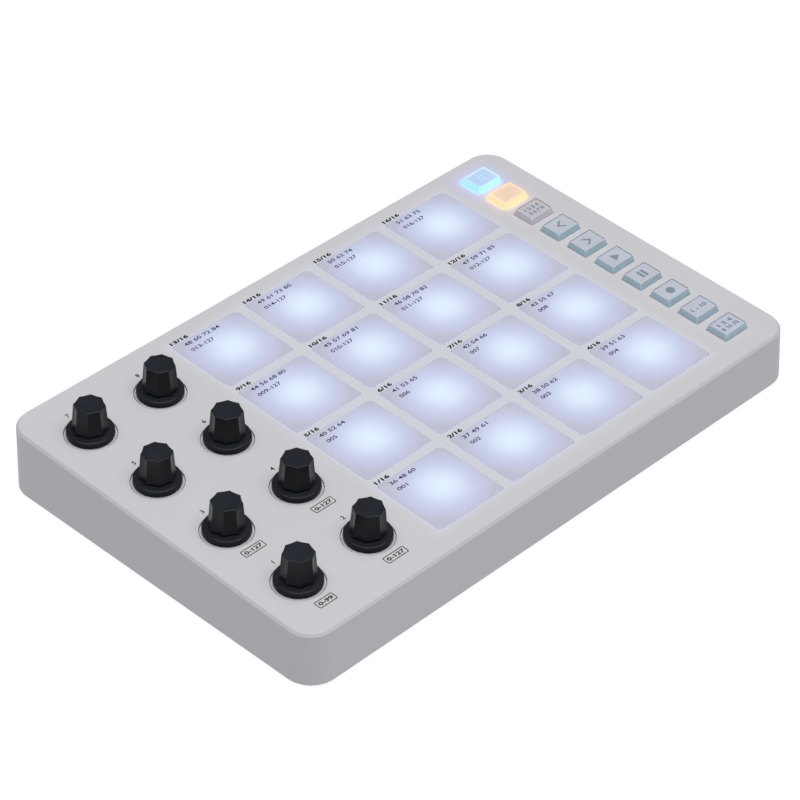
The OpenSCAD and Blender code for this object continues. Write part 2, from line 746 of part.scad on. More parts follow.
module cover_screws() color("silver")
    for (p = post_places) translate([p[0], p[1], foot_drop + screw_seat])
        screw(screw_d, screw_l, screw_head_d, screw_head_h);

module board_screws() color("silver")
    for (p = stud_places) on_panel(p[0], p[1], board_low)
        screw(tack_d, tack_l, tack_head_d, tack_head_h);

// Feet with a chamfered lower edge, seated in the cover's pockets
module rubber_feet() color([0.2, 0.2, 0.21])
    each_corner(body_w / 2 - foot_inset, body_d / 2 - foot_inset) {
        foot_edge = foot_drop / 3;
        cylinder(foot_edge, d1 = foot_d - 2 * foot_edge, d2 = foot_d);
        translate([0, 0, foot_edge]) cylinder(foot_drop + foot_seat - foot_edge, d = foot_d);
    }

top_shell();
bottom_cover();
main_board();
pad_frame();
key_frame();
sensor_film();
lamps();
key_contacts();
encoder_bodies();
control_chips();
battery();
usb_socket();
midi_jack();
power_switch_body();
power_switch_slider();
cover_screws();
board_screws();
rubber_feet();
for (n = [1:pad_count]) pad(n);
for (n = [1:key_count]) key(n);
for (n = [1:knob_count]) knob(n);
for (n = [1:knob_count]) encoder_shaft(n);
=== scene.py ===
import bmesh
import bpy
import json
import math
from mathutils import Matrix, Vector


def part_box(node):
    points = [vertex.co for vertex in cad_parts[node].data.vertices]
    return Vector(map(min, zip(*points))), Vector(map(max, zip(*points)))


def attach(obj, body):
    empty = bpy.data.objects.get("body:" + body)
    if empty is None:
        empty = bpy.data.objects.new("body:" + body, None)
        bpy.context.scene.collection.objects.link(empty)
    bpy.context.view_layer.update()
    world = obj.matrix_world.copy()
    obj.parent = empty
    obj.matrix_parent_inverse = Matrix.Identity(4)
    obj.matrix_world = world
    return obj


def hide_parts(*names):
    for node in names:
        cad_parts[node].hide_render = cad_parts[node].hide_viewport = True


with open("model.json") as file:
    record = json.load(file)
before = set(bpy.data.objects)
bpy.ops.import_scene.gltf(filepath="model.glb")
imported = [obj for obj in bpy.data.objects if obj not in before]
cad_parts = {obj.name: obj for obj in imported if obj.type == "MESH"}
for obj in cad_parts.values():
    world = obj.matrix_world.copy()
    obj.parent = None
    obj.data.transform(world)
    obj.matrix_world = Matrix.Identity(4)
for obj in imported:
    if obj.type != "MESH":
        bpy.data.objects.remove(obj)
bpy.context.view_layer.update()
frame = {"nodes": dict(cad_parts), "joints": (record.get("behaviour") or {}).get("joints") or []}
mm = 0.001
padCount = 16
keyCount = 10
knobCount = 8


def findJoint(name):
    return next(joint for joint in frame["joints"] if joint["name"] == name)


# The panel's own frame leans with the panel, and its zero lies on the panel's face
turnAxis = Vector(findJoint("knob_1_turn")["axis"])
turnPoint = Vector(findJoint("knob_1_turn")["pos_m"])
panelTilt = math.atan2(-turnAxis.y, turnAxis.z)
panelZ = turnPoint.z - turnPoint.y * math.tan(panelTilt)
panelPlace = Matrix.Translation((0, 0, panelZ)) @ Matrix.Rotation(panelTilt, 4, "X")


def extent(points):
    low = Vector([min(p[i] for p in points) for i in range(3)])
    high = Vector([max(p[i] for p in points) for i in range(3)])
    return low, high


def panelBox(node):
    fromPanel = panelPlace.inverted()
    return extent([fromPanel @ v.co for v in frame["nodes"][node].data.vertices])


def panelMiddle(node):
    low, high = panelBox(node)
    return Vector(((low.x + high.x) / 2, (low.y + high.y) / 2, 0))


# Adding shapes and picking parts of them
picking = {
    "level": 0.99,       # a level face's normal has more than this of its length along z,
    "side": 0.3,         # a side's has less than this,
    "plumb": 0.05,       # and an upright side's less than this
    "rising": 0.5,       # an upright edge rises by more than this share of its length
    "near": 0.002 * mm,  # how close to the top or the bottom a part has to lie
}


def addBlock(name, width, depth, lowZ, highZ, x=0, y=0):
    bpy.ops.object.select_all(action="DESELECT")
    bpy.ops.mesh.primitive_cube_add(size=1, calc_uvs=False, location=(x, y, (lowZ + highZ) / 2),
                                    scale=(width, depth, highZ - lowZ))
    bpy.ops.object.transform_apply(location=True, rotation=True, scale=True)
    bpy.context.object.name = name
    return bpy.context.object


def addCylinder(name, radius, lowZ, highZ, sides):
    bpy.ops.object.select_all(action="DESELECT")
    bpy.ops.mesh.primitive_cylinder_add(vertices=sides, radius=radius, depth=highZ - lowZ,
                                        location=(0, 0, (lowZ + highZ) / 2))
    bpy.ops.object.transform_apply(location=True, rotation=True, scale=True)
    bpy.context.object.name = name
    return bpy.context.object


def addDisc(name, radius, sides):
    bpy.ops.object.select_all(action="DESELECT")
    bpy.ops.mesh.primitive_circle_add(vertices=sides, radius=radius, fill_type="NGON")
    bpy.context.object.name = name
    return bpy.context.object


def selectOnly(piece):
    bpy.ops.object.select_all(action="DESELECT")
    piece.select_set(True)
    bpy.context.view_layer.objects.active = piece


def openMesh(piece):
    selectOnly(piece)
    bpy.ops.object.mode_set(mode="EDIT")


def closeMesh():
    bpy.ops.object.mode_set(mode="OBJECT")


def pick(piece, kind, test):
    bpy.ops.mesh.select_mode(type=kind)
    bpy.ops.mesh.select_all(action="DESELECT")
    mesh = bmesh.from_edit_mesh(piece.data)
    mesh.normal_update()
    parts = {"VERT": mesh.verts, "EDGE": mesh.edges, "FACE": mesh.faces}[kind]
    for part in parts:
        if test(part):
            part.select_set(True)
    mesh.select_flush_mode()
    bmesh.update_edit_mesh(piece.data)


def topOf(piece):
    return max(v.co.z for v in bmesh.from_edit_mesh(piece.data).verts)


def bottomOf(piece):
    return min(v.co.z for v in bmesh.from_edit_mesh(piece.data).verts)


def pickTop(piece):
    nearTop = topOf(piece) - picking["near"]
    pick(piece, "FACE", lambda f: f.normal.z > picking["level"] and f.calc_center_median().z > nearTop)


def pickBottom(piece):
    nearLow = bottomOf(piece) + picking["near"]
    pick(piece, "FACE", lambda f: f.normal.z < -picking["level"] and f.calc_center_median().z < nearLow)


def isUpright(edge):
    a, b = edge.verts
    return abs(a.co.z - b.co.z) > picking["rising"] * edge.calc_length()


def roundUprights(piece, radius, steps):
    pick(piece, "EDGE", isUpright)
    bpy.ops.mesh.bevel(offset=radius, segments=steps, affect="EDGES")


def isRim(edge, up):  # round a level face that looks up, or down where up is -1
    level = [f.normal.z * up > picking["level"] for f in edge.link_faces]
    return len(level) == 2 and level[0] != level[1]


def roundTop(piece, radius, steps):
    nearTop = topOf(piece) - picking["near"]
    pick(piece, "EDGE", lambda e: isRim(e, 1) and min(v.co.z for v in e.verts) > nearTop)
    bpy.ops.mesh.bevel(offset=radius, segments=steps, affect="EDGES")


def raiseFace(rise):
    bpy.ops.mesh.extrude_region_move(TRANSFORM_OT_translate={"value": (0, 0, rise)})


def sizeFace(x, y):
    bpy.ops.transform.resize(value=(x, y, 1), center_override=(0, 0, 0))


def growFace(width, depth, grow):
    raiseFace(0)
    sizeFace((width + 2 * grow) / width, (depth + 2 * grow) / depth)


def quarterSteps(count):  # the angles between which each step of a rounded edge runs
    turns = [math.radians(90 * i / count) for i in range(count + 1)]
    return zip(turns, turns[1:])


def settle(piece, place):
    piece.data.transform(place)
    piece.data.update()
    return piece


def smooth(piece, angle):
    selectOnly(piece)
    bpy.ops.object.shade_smooth_by_angle(angle=math.radians(angle))
    bpy.ops.object.modifier_add(type="WEIGHTED_NORMAL")
    weigh = piece.modifiers[-1]
    weigh.keep_sharp = True
    bpy.ops.object.modifier_apply(modifier=weigh.name)


def copyOf(piece, name):
    twin = piece.copy()
    twin.data = piece.data.copy()
    twin.name = name
    bpy.context.scene.collection.objects.link(twin)
    return twin


def joinAll(parts, name):
    bpy.ops.object.select_all(action="DESELECT")
    for part in parts:
        part.select_set(True)
    bpy.context.view_layer.objects.active = parts[0]
    bpy.ops.object.join()
    parts[0].name = name
    return parts[0]


def cutAway(piece, tool):
    selectOnly(piece)
    bpy.ops.object.modifier_add(type="BOOLEAN")
    cut = piece.modifiers[-1]
    cut.operation = "DIFFERENCE"
    cut.solver = "EXACT"
    cut.object = tool
    bpy.ops.object.modifier_apply(modifier=cut.name)
    bpy.data.objects.remove(tool)


def dress(piece, body, slot, *materials):
    for material in materials:
        piece.data.materials.append(material)
    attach(piece, body)


# Finishes: a clouded colour and roughness, and a fine grain
surface = {
    "cloudDetail": 4,
    "cloudStops": (0.3, 0.7),  # where in the noise the darker and the lighter tone lie
    "roughSpread": 0.05,
    "grainDetail": 3,
}
satinGrain = {"cloud": 60, "scale": 2600, "height": 0.03 * mm, "strength": 0.25}
fineGrain = {"cloud": 200, "scale": 4000, "height": 0.02 * mm, "strength": 0.2}
padGrain = {"cloud": 250, "scale": 3000, "height": 0.02 * mm, "strength": 0.15}
rubberGrain = {"cloud": 300, "scale": 3000, "height": 0.05 * mm, "strength": 0.4}


def startFinish(name, roughness):
    material = bpy.data.materials.new(name)
    material.use_nodes = True
    shader = material.node_tree.nodes["Principled BSDF"]
    shader.inputs["Roughness"].default_value = roughness
    return material, material.node_tree.nodes, material.node_tree.links, shader


def addNoise(nodes, links, scale, detail):
    where = nodes.new("ShaderNodeTexCoord")
    noise = nodes.new("ShaderNodeTexNoise")
    noise.inputs["Scale"].default_value = scale
    noise.inputs["Detail"].default_value = detail
    links.new(where.outputs["Object"], noise.inputs["Vector"])
    return noise.outputs["Fac"]


def addRamp(nodes, links, source, stops):
    ramp = nodes.new("ShaderNodeValToRGB")
    links.new(source, ramp.inputs["Fac"])
    while len(ramp.color_ramp.elements) < len(stops):
        ramp.color_ramp.elements.new(0.5)  # moved to its place below
    for element, (position, colour) in zip(ramp.color_ramp.elements, stops):
        element.position = position
        element.color = (*colour, 1)
    return ramp.outputs["Color"]


def addGrain(nodes, links, shader, grain):
    bump = nodes.new("ShaderNodeBump")
    bump.inputs["Strength"].default_value = grain["strength"]
    bump.inputs["Distance"].default_value = grain["height"]
    links.new(addNoise(nodes, links, grain["scale"], surface["grainDetail"]), bump.inputs["Height"])
    links.new(bump.outputs["Normal"], shader.inputs["Normal"])


def mottle(colour, spread):
    dark = tuple(c * (1 - spread) for c in colour)
    light = tuple(min(1, c * (1 + spread)) for c in colour)
    return list(zip(surface["cloudStops"], (dark, light)))


def grainedFinish(name, colour, roughness, grain, specular=0.5, metal=0.0, spread=0.03, glow=None):
    material, nodes, links, shader = startFinish(name, roughness)
    if glow:
        shader.inputs["Emission Color"].default_value = (*glow, 1)
        shader.inputs["Emission Strength"].default_value = 1
    shader.inputs["Specular IOR Level"].default_value = specular
    shader.inputs["Metallic"].default_value = metal
    cloud = addNoise(nodes, links, grain["cloud"], surface["cloudDetail"])
    links.new(addRamp(nodes, links, cloud, mottle(colour, spread)), shader.inputs["Base Color"])
    rough = nodes.new("ShaderNodeMapRange")
    rough.inputs["To Min"].default_value = roughness - surface["roughSpread"]
    rough.inputs["To Max"].default_value = roughness + surface["roughSpread"]
    links.new(cloud, rough.inputs["Value"])
    links.new(rough.outputs["Result"], shader.inputs["Roughness"])
    addGrain(nodes, links, shader, grain)
    return material


coverGrey = grainedFinish("coverGrey", (0.36, 0.36, 0.375), 0.6, satinGrain, specular=0.3, spread=0.02)
knobBlack = grainedFinish("knobBlack", (0.0125, 0.0145, 0.02), 0.35, fineGrain, specular=0.14, spread=0.1)
knobGloss = grainedFinish("knobGloss", (0.006, 0.007, 0.01), 0.3, fineGrain, specular=0.17, spread=0.1)
inkBlack = grainedFinish("inkBlack", (0.012, 0.012, 0.014), 0.6, fineGrain, specular=0.2, spread=0.1)
inkViolet = grainedFinish("inkViolet", (0.03, 0.028, 0.06), 0.6, fineGrain, specular=0.2, spread=0.1)
inkGrey = grainedFinish("inkGrey", (0.175, 0.22, 0.275), 0.6, fineGrain, specular=0.2, spread=0.05)
footRubber = grainedFinish("footRubber", (0.03, 0.03, 0.032), 0.85, rubberGrain, specular=0.3, spread=0.15)
screwSteel = grainedFinish("screwSteel", (0.55, 0.55, 0.56), 0.3, fineGrain, metal=1.0, spread=0.05)
brightMetal = grainedFinish("brightMetal", (0.7, 0.7, 0.71), 0.25, fineGrain, metal=1.0, spread=0.05)
contactGold = grainedFinish("contactGold", (0.75, 0.55, 0.2), 0.3, fineGrain, metal=1.0, spread=0.05)
jackBlack = grainedFinish("jackBlack", (0.015, 0.015, 0.016), 0.4, fineGrain, spread=0.1)
chipBlack = grainedFinish("chipBlack", (0.02, 0.02, 0.022), 0.5, fineGrain, spread=0.1)
boardGreen = grainedFinish("boardGreen", (0.01, 0.09, 0.04), 0.35, fineGrain, spread=0.12)
frameWhite = grainedFinish("frameWhite", (0.75, 0.75, 0.76), 0.55, satinGrain, spread=0.02)
filmAmber = grainedFinish("filmAmber", (0.5, 0.28, 0.06), 0.3, fineGrain, spread=0.06)
lampWhite = grainedFinish("lampWhite", (0.8, 0.8, 0.76), 0.35, fineGrain, spread=0.03)
batterySilver = grainedFinish("batterySilver", (0.6, 0.6, 0.62), 0.4, satinGrain, metal=0.6, spread=0.05)
print("plain finishes made")

# Camera, floor and light, at the photograph's viewing angle
view = {
    "place": Vector((-593.14, -588.68, 666.48)) * mm,
    "azimuth": -45.069,  # degrees round the object
    "elevation": 38.06,  # degrees above the horizon
    "lens": 150.7,       # in millimetres, as the sensor's width
    "sensor": 36,
    "nearest": 10 * mm,  # what is closer than this doesn't show
}
bpy.ops.object.select_all(action="DESELECT")
bpy.ops.object.camera_add(
    location=view["place"],
    rotation=(math.radians(90 - view["elevation"]), 0, math.radians(view["azimuth"])))
camera = bpy.context.object
camera.name = "camera"
camera.data.sensor_width = view["sensor"]
camera.data.lens = view["lens"]
camera.data.clip_start = view["nearest"]
bpy.context.scene.camera = camera
bpy.context.scene.view_settings.view_transform = "Standard"

studio = {
    "floorSize": 8,  # metres, as the lamp's places and size
    "floorColour": (0.1, 0.1, 0.1),
    "floorGlow": (0.935, 0.93, 0.96),  # a light table, so the floor stays white round the object
    "skyColour": (1, 1, 1),
    "skyStrength": 0.1,
    "lampHeight": 2.2,
    "lampSize": 2.4,
    "lampPower": 76,
    "lampAside": (-0.05, -0.26),
}
bpy.ops.object.select_all(action="DESELECT")
bpy.ops.mesh.primitive_plane_add(size=studio["floorSize"], location=(0, 0, 0))
floor = bpy.context.object
floor.name = "floor"
floor.data.materials.append(
    grainedFinish("floorPaper", studio["floorColour"], 0.9, satinGrain, specular=0.1, spread=0.005,
                  glow=studio["floorGlow"]))
world = bpy.data.worlds.new("studioSky")
bpy.context.scene.world = world
world.use_nodes = True
sky = world.node_tree.nodes["Background"]
sky.inputs["Color"].default_value = (*studio["skyColour"], 1)
sky.inputs["Strength"].default_value = studio["skyStrength"]
bpy.ops.object.select_all(action="DESELECT")
bpy.ops.object.light_add(type="AREA", location=(*studio["lampAside"], studio["lampHeight"]))
lamp = bpy.context.object
lamp.name = "softBox"
lamp.data.size = studio["lampSize"]
lamp.data.energy = studio["lampPower"]
lamp.rotation_euler = (-Vector(lamp.location)).to_track_quat("-Z", "Y").to_euler()
print("camera, floor and light set")

# Shell: a leaning block, hollowed, with an opening for each pad, key and knob
shell = {
    "flare": 0.7 * mm,       # how far the walls lean out at their lower edge
    "corner": 8.8 * mm,
    "cornerSteps": 14,
    "roomCorner": 5.8 * mm,  # inside the walls
    "rimIn": 0.8 * mm,       # bevel round the panel, inwards and down
    "rimDrop": 0.95 * mm,
    "rimRound": 0.25 * mm,
    "rimSteps": 4,
    "band": 0.6 * mm,        # upright band along the lower edge
    "foot": 0.4 * mm,        # soft edge along its bottom
    "footSteps": 2,
    "wall": 2.2 * mm,
    "panelThick": 2.4 * mm,
    "openingSteps": 8,       # round each corner of an opening
    "lipRound": 0.12 * mm,   # soft edge of each opening
    "lipSteps": 2,
    "through": 1 * mm,       # how far a cut runs past what it cuts
    "smoothAngle": 30,       # keeps the bevel apart from the walls
    "colour": (0.475, 0.471, 0.493),
}


def leaningBlock(name, width, depth, lowZ, topZ, corner, band):  # left in edit mode with its top picked
    flare = shell["flare"]
    piece = addBlock(name, width + 2 * flare, depth + 2 * flare, lowZ, lowZ + band)
    openMesh(piece)
    roundUprights(piece, corner + flare, shell["cornerSteps"])
    pickTop(piece)
    bpy.ops.mesh.inset(thickness=flare)
    bpy.ops.transform.translate(value=(0, 0, topZ - lowZ - band))
    bpy.ops.transform.rotate(value=-panelTilt, orient_axis="X", center_override=(0, 0, topZ))
    return piece


def makeShellBody():
    low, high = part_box("top_shell")
    width = high.x - low.x - 2 * shell["flare"]
    depth = high.y - low.y - 2 * shell["flare"]
    rimLow = panelZ - shell["rimDrop"] / math.cos(panelTilt)
    body = leaningBlock("topShell", width, depth, low.z, rimLow, shell["corner"], shell["band"])
    bpy.ops.mesh.inset(thickness=shell["rimIn"], depth=shell["rimDrop"])
    pick(body, "EDGE", lambda e: isRim(e, 1))
    bpy.ops.mesh.bevel(offset=shell["rimRound"], segments=shell["rimSteps"], affect="EDGES")
    pick(body, "EDGE", lambda e: isRim(e, -1))
    bpy.ops.mesh.bevel(offset=shell["foot"], segments=shell["footSteps"], affect="EDGES")
    closeMesh()
    inset = 2 * shell["wall"]
    room = leaningBlock("room", width - inset, depth - inset, low.z - shell["through"],
                        panelZ - shell["panelThick"], shell["roomCorner"], shell["through"])
    closeMesh()
    cutAway(body, room)
    return body


def flareOpening(width, depth):
    lip = shell["lipRound"]
    for before, after in quarterSteps(shell["lipSteps"]):
        raiseFace(lip * (math.sin(after) - math.sin(before)))
        wide, widened = lip * (1 - math.cos(before)), lip * (1 - math.cos(after))
        sizeFace((width + 2 * widened) / (width + 2 * wide), (depth + 2 * widened) / (depth + 2 * wide))
    raiseFace(shell["through"])


def blockOpening(name, width, depth, corner):
    tool = addBlock(name, width, depth, -shell["panelThick"] - shell["through"], -shell["lipRound"])
    openMesh(tool)
    roundUprights(tool, corner, shell["openingSteps"])
    pickTop(tool)
    flareOpening(width, depth)
    closeMesh()
    return tool


# Pads: soft blocks with a lip under the panel and a light well below
pad = {
    "lip": 0.4 * mm,
    "holeGap": 0.15 * mm,
    "lipThick": 1.2 * mm,
    "play": 0.05 * mm,         # between the lip and the panel
    "corner": 1.5 * mm,
    "cornerSteps": 6,
    "edge": 0.2 * mm,
    "edgeSteps": 3,
    "wall": 4 * mm,            # round the light well
    "crown": 3.4 * mm,         # above the light well
    "smoothAngle": 35,
    "colour": (0.42, 0.425, 0.515),
    "spread": 0.02,
    "roughness": 0.55,
    "specular": 0.2,
    "leak": (0.4, 0.4, 0.48),  # light at the sides
    "lightAside": (0.75 * mm, 0.54 * mm),  # the lamp is a little off the middle
    "light": [  # how far from the lamp, and the glow there
        (0, (0.25, 0.35, 0.405)), (2 * mm, (0.237, 0.334, 0.383)), (4 * mm, (0.211, 0.299, 0.351)),
        (6 * mm, (0.172, 0.246, 0.319)), (8 * mm, (0.12, 0.178, 0.265)), (10 * mm, (0.078, 0.117, 0.203)),
        (12 * mm, (0.051, 0.073, 0.143)), (13.5 * mm, (0.035, 0.048, 0.102)),
        (15 * mm, (0.018, 0.024, 0.057)), (16.7 * mm, (0, 0, 0.005))],
}
padLow, padHigh = panelBox("pad_1")
padWidth = padHigh.x - padLow.x - 2 * pad["lip"]
padDepth = padHigh.y - padLow.y - 2 * pad["lip"]


def makePad():
    lipTop = -shell["panelThick"] - pad["play"]
    lipLow = lipTop - pad["lipThick"]
    piece = addBlock("padMaster", padWidth, padDepth, padLow.z, lipLow)
    openMesh(piece)
    roundUprights(piece, pad["corner"], pad["cornerSteps"])
    pickTop(piece)
    growFace(padWidth, padDepth, pad["lip"])
    raiseFace(pad["lipThick"])
    growFace(padWidth + 2 * pad["lip"], padDepth + 2 * pad["lip"], -pad["lip"])
    raiseFace(padHigh.z - lipTop)
    roundTop(piece, pad["edge"], pad["edgeSteps"])
    pickBottom(piece)
    bpy.ops.mesh.inset(thickness=pad["wall"])
    raiseFace(padHigh.z - pad["crown"] - padLow.z)
    closeMesh()
    smooth(piece, pad["smoothAngle"])
    glow = piece.data.uv_layers.new(name="glow")  # runs from 0 to 1 across the pad, for its light
    for loop in piece.data.loops:
        spot = piece.data.vertices[loop.vertex_index].co
        glow.data[loop.index].uv = (spot.x / padWidth + 0.5, spot.y / padDepth + 0.5)
    for face in piece.data.polygons:
        if face.center.z > lipTop and abs(face.normal.z) < picking["side"]:
            face.material_index = 1  # the sides, where light leaks past the panel
    return piece


def padFinish():
    material, nodes, links, shader = startFinish("padSilicone", pad["roughness"])
    shader.inputs["Specular IOR Level"].default_value = pad["specular"]
    shader.inputs["Emission Strength"].default_value = 1
    cloud = addNoise(nodes, links, padGrain["cloud"], surface["cloudDetail"])
    tones = mottle(pad["colour"], pad["spread"])
    links.new(addRamp(nodes, links, cloud, tones), shader.inputs["Base Color"])
    where = nodes.new("ShaderNodeTexCoord")
    reach = nodes.new("ShaderNodeVectorMath")
    reach.operation = "DISTANCE"
    aside = pad["lightAside"]  # from the middle, which lies at 0.5
    reach.inputs[1].default_value = (0.5 + aside[0] / padWidth, 0.5 + aside[1] / padDepth, 0)
    links.new(where.outputs["UV"], reach.inputs[0])
    stops = [(away / padWidth, glow) for away, glow in pad["light"]]
    links.new(addRamp(nodes, links, reach.outputs["Value"], stops), shader.inputs["Emission Color"])
    addGrain(nodes, links, shader, padGrain)
    return material


# Keys: small leaning blocks with a sunk plate on top, a lip under the panel and a stem
key = {
    "lip": 0.7 * mm,
    "lipThick": 1 * mm,
    "play": 0.05 * mm,
    "corner": 0.55 * mm,
    "cornerSteps": 5,
    "holeCorner": 0.45 * mm,
    "holeGap": 0.06 * mm,
    "leanX": 0.5 * mm,
    "leanY": 0.6 * mm,
    "edge": 0.06 * mm,
    "edgeSteps": 2,
    "frame": 0.09 * mm,  # rim round the sunk plate
    "sunk": 0.3 * mm,
    "stem": 4 * mm,
    "smoothAngle": 35,
}
keyLow, keyHigh = panelBox("key_1")
keyWidth = keyHigh.x - keyLow.x - 2 * key["lip"]
keyDepth = keyHigh.y - keyLow.y - 2 * key["lip"]


def makeKey():
    lipTop = -shell["panelThick"] - key["play"]
    lipLow = lipTop - key["lipThick"]
    outerWidth = keyWidth + 2 * key["lip"]
    outerDepth = keyDepth + 2 * key["lip"]
    piece = addBlock("keyMaster", outerWidth, outerDepth, lipLow, lipTop)
    openMesh(piece)
    roundUprights(piece, key["corner"], key["cornerSteps"])
    pickTop(piece)
    growFace(outerWidth, outerDepth, -key["lip"])
    raiseFace(-lipTop)
    raiseFace(keyHigh.z)
    sizeFace(1 - 2 * key["leanX"] / keyWidth, 1 - 2 * key["leanY"] / keyDepth)
    roundTop(piece, key["edge"], key["edgeSteps"])
    pickTop(piece)
    bpy.ops.mesh.inset(thickness=key["frame"])
    raiseFace(-key["sunk"])
    pickBottom(piece)
    raiseFace(0)
    sizeFace(key["stem"] / outerWidth, key["stem"] / outerDepth)
    raiseFace(keyLow.z - lipLow)
    closeMesh()
    plateZ = keyHigh.z - key["sunk"]
    for face in piece.data.polygons:
        if face.normal.z > picking["level"] and face.center.z > plateZ - key["edge"]:
            face.material_index = 1  # the plate and its rim
        elif abs(face.normal.z) < picking["plumb"] and face.center.z > plateZ:
            face.material_index = 2  # the step down to the plate
    smooth(piece, key["smoothAngle"])
    return piece


def keyFinishes(name, look):
    return [grainedFinish(f"{name}Key{part}", look[part], 0.5, fineGrain, specular=0.3,
                          glow=look.get(part + "Glow")) for part in ("Side", "Plate", "Step")]


# Knobs: a round skirt and an eight-sided fluted cap, drawn up in one piece
knob = {
    "sides": 96,
    "skirtRadius": 7.6 * mm,
    "skirtLow": 0.25 * mm,
    "skirtEdge": 0.6 * mm,
    "edgeSteps": 5,
    "rimHigh": 1.9 * mm,
    "flats": 8,
    "rings": [  # a thin fluted step, a groove and the cap: height, and radius over the corners
        (1.95 * mm, 6.15 * mm), (2.04 * mm, 6.13 * mm), (2.1 * mm, 6.05 * mm), (2.14 * mm, 5.2 * mm),
        (2.8 * mm, 5.2 * mm), (2.85 * mm, 5.8 * mm), (3.6 * mm, 5.66 * mm), (11.6 * mm, 5 * mm)],
    "capLow": 2.85 * mm,     # the ring at which the cap starts
    "flute": 0.14 * mm,
    "capEdge": 0.4 * mm,
    "capEdgeSteps": 5,
    "well": 3.8 * mm,
    "wellTop": 1.2 * mm,
    "shaft": 3.02 * mm,
    "shaftTop": 9.22 * mm,
    "smoothAngle": 24,
    "turns": [8, -6, -8, 2, 12, 0, -1, -6],  # degrees that each knob rests at
    "recess": 8.45 * mm,     # shallow, with a groove round its edge
    "recessDeep": 0.3 * mm,
    "grooveDeep": 1.2 * mm,
    "grooveWide": 0.3 * mm,
}


def flutedShare(angle):  # how far out the fluted outline lies, as a share of its corners' radius
    flat = 360 / knob["flats"]
    half = math.radians(flat / 2)
    within = math.radians(angle % flat - flat / 2)
    along = 0.5 + 0.5 * math.tan(within) / math.tan(half)  # runs from 0 to 1 along a side
    dip = knob["flute"] / knob["rings"][0][1] * 4 * along * (1 - along)  # deepest in its middle
    return (math.cos(half) - dip) / math.cos(within)


def rayOf(v):  # which of the outline's points a vertex belongs to, counted round from x
    return round(math.degrees(math.atan2(v.co.y, v.co.x)) / (360 / knob["sides"]))


def makeSkirt():  # left in edit mode with the cap's foot picked
    lowZ = knob["skirtLow"]
    radius = knob["skirtRadius"]
    edge = knob["skirtEdge"]
    piece = addDisc("knobMaster", radius, knob["sides"])
    openMesh(piece)
    bpy.ops.mesh.select_all(action="SELECT")
    bpy.ops.transform.translate(value=(0, 0, lowZ))
    raiseFace(knob["rimHigh"] - edge - lowZ)
    for before, after in quarterSteps(knob["edgeSteps"]):
        raiseFace(edge * (math.sin(after) - math.sin(before)))
        share = (radius - edge * (1 - math.cos(after))) / (radius - edge * (1 - math.cos(before)))
        sizeFace(share, share)
    footZ, footRadius = knob["rings"][0]
    raiseFace(footZ - knob["rimHigh"])
    share = footRadius / (radius - edge)
    sizeFace(share, share)
    return piece


def drawUpCap(piece):
    steps = knob["sides"] // knob["flats"]
    aboveSkirt = (knob["rimHigh"] + knob["rings"][0][0]) / 2
    for phase in range(steps):  # draws the foot in to the fluted sides, step by step round it
        pick(piece, "VERT", lambda v: v.co.z >= aboveSkirt and rayOf(v) % steps == phase)
        share = flutedShare(360 / knob["sides"] * phase)
        sizeFace(share, share)
    for (fromZ, before), (toZ, after) in zip(knob["rings"], knob["rings"][1:]):
        pickTop(piece)
        raiseFace(toZ - fromZ)
        sizeFace(after / before, after / before)
    roundTop(piece, knob["capEdge"], knob["capEdgeSteps"])


def makeKnob():
    piece = makeSkirt()
    drawUpCap(piece)
    bpy.ops.mesh.select_all(action="SELECT")
    bpy.ops.mesh.normals_make_consistent(inside=False)
    pickBottom(piece)
    bpy.ops.mesh.inset(thickness=knob["skirtRadius"] - knob["well"])
    raiseFace(knob["wellTop"] - knob["skirtLow"])
    bpy.ops.mesh.inset(thickness=knob["well"] - knob["shaft"])
    raiseFace(knob["shaftTop"] - knob["wellTop"])
    closeMesh()
    for face in piece.data.polygons:
        outside = face.center.z > knob["capLow"] and face.center.xy.length > knob["well"]
        if outside and abs(face.normal.z) < picking["side"]:
            face.material_index = 1  # the cap's smooth sides
    smooth(piece, knob["smoothAngle"])
    return piece


def recessOpening(name):
    tool = addCylinder(name, knob["recess"], -knob["grooveDeep"], -shell["lipRound"], knob["sides"])
    openMesh(tool)
    pickTop(tool)
    flareOpening(2 * knob["recess"], 2 * knob["recess"])
    pickBottom(tool)
    bpy.ops.mesh.inset(thickness=knob["grooveWide"])
    raiseFace(knob["grooveDeep"] - knob["recessDeep"])
    bpy.ops.mesh.inset(thickness=knob["recess"] - knob["grooveWide"] - knob["well"])
    raiseFace(-shell["panelThick"])
    closeMesh()
    return tool


# Sockets and the power switch show through the back wall
backWall = {
    "tunnel": 6 * mm,
    "gap": 0.25 * mm,       # round the sockets
    "cornerSteps": 10,
    "usbCorner": 1.85 * mm,
    "jackCollar": 2.4 * mm,
    "jackFlat": 0.01 * mm,  # keeps the corners of the jack's round opening from meeting
    "switchRoom": 0.3 * mm,
    "switchCorner": 0.3 * mm,
    "nubWide": 2.4 * mm,
    "nubTall": 1.6 * mm,
}


def backOpening(name, node, width, height, corner):
    low, high = panelBox(node)
    middle = (low + high) / 2
    tool = addBlock(name, width, height, -backWall["tunnel"], backWall["tunnel"])
    openMesh(tool)
    roundUprights(tool, corner, backWall["cornerSteps"])
    closeMesh()
    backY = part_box("top_shell")[1].y
    place = Matrix.Translation((middle.x, backY, middle.z)) @ Matrix.Rotation(math.radians(90), 4, "X")
    return settle(tool, panelPlace @ place)


